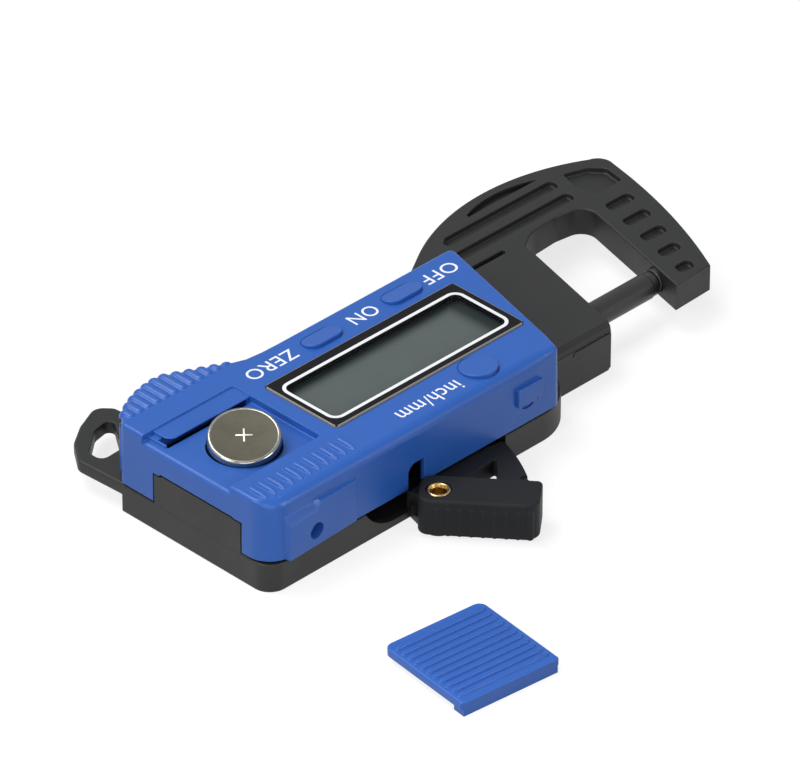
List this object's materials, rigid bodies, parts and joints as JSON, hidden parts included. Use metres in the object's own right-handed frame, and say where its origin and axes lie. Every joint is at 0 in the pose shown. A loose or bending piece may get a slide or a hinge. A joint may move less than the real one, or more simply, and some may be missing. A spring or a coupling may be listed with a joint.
{
  "type": "digital thickness gauge",
  "caption": "Pocket digital thickness gauge: C-shaped jaw, sliding spindle worked by a thumb lever, display with keys, open battery bay with its cover beside it.",
  "frame": {"origin": "on the flat back of the frame, straight below the centre of the display", "axes": "+X runs along the display's reading direction to the battery end, +Y points to the thumb lever and +Z comes out of the display; the gauge lies on its back"},
  "size_m": [0.1187, 0.0961, 0.0193],
  "materials": {
    "blue_plastic": "satin moulded ABS, royal blue",
    "black_composite": "fine matt glass-filled moulding",
    "lens_plastic": "polished clear acrylic over a black printed border",
    "display_glass": "grey-green reflective liquid crystal glass",
    "steel": "ground and lapped",
    "cell_steel": "nickel-plated",
    "brass": "bright drawn tube",
    "contact_metal": "gold-plated spring strip",
    "board": "green solder resist",
    "rubber": "zebra strip",
    "epoxy": "cast blob"
  },
  "bodies": {
    "gauge": {"frame": "black_composite", "housing": "blue_plastic", "display_lens": "lens_plastic", "lcd_panel": "display_glass", "lcd_contact_strip_far": "rubber", "lcd_contact_strip_near": "rubber", "circuit_board": "board", "display_chip": "epoxy", "key_dome_off": "contact_metal", "key_dome_on": "contact_metal", "key_dome_unit": "contact_metal", "contact_positive": "contact_metal", "contact_negative": "contact_metal", "anvil": "steel", "return_spring": "steel", "lever_rivet": "brass", "case_screw_jaw_far": "steel", "case_screw_jaw_near": "steel", "case_screw_end_near": "steel", "case_screw_end_far": "steel"},
    "off_key": {"button_off": "blue_plastic"},
    "on_key": {"button_on": "blue_plastic"},
    "unit_key": {"button_unit": "blue_plastic"},
    "cell": {"battery_cell": "cell_steel"},
    "cover": {"battery_cover": "blue_plastic"},
    "spindle_slide_body": {"spindle": "black_composite", "spindle_tip": "steel", "carriage": "black_composite", "sensor_strip": "board"},
    "thumb_lever": {"lever": "black_composite"}
  },
  "joints": [
    {"name": "spindle_travel", "type": "slide", "parent": "gauge", "child": "spindle_slide_body", "axis": [1, 0, 0], "range_m": [0, 0.0127], "stiffness_N_per_m": 25, "springref_m": -0.02, "deforming": ["return_spring"]},
    {"name": "lever_press", "type": "hinge", "parent": "gauge", "child": "thumb_lever", "pos_m": [0.0119, 0.0217, 0.0045], "axis": [0, 0, 1], "range_deg": [0, 39.27]},
    {"name": "off_press", "type": "slide", "parent": "gauge", "child": "off_key", "axis": [0, 0, -1], "range_m": [0, 0.0005], "stiffness_N_per_m": 800, "springref_m": -0.0004},
    {"name": "on_press", "type": "slide", "parent": "gauge", "child": "on_key", "axis": [0, 0, -1], "range_m": [0, 0.0005], "stiffness_N_per_m": 800, "springref_m": -0.0004},
    {"name": "unit_press", "type": "slide", "parent": "gauge", "child": "unit_key", "axis": [0, 0, -1], "range_m": [0, 0.0005], "stiffness_N_per_m": 800, "springref_m": -0.0004},
    {"name": "cell_lift", "type": "slide", "parent": "gauge", "child": "cell", "axis": [0, 0, 1], "range_m": [0, 0.012]},
    {"name": "cover_lift", "type": "slide", "parent": "gauge", "child": "cover", "axis": [0, 0, 1], "range_m": [0, 0.02]}
  ],
  "couplings": [
    {"joint": "lever_press", "follows": "spindle_travel", "rad_per_m": 53.95}
  ]
}
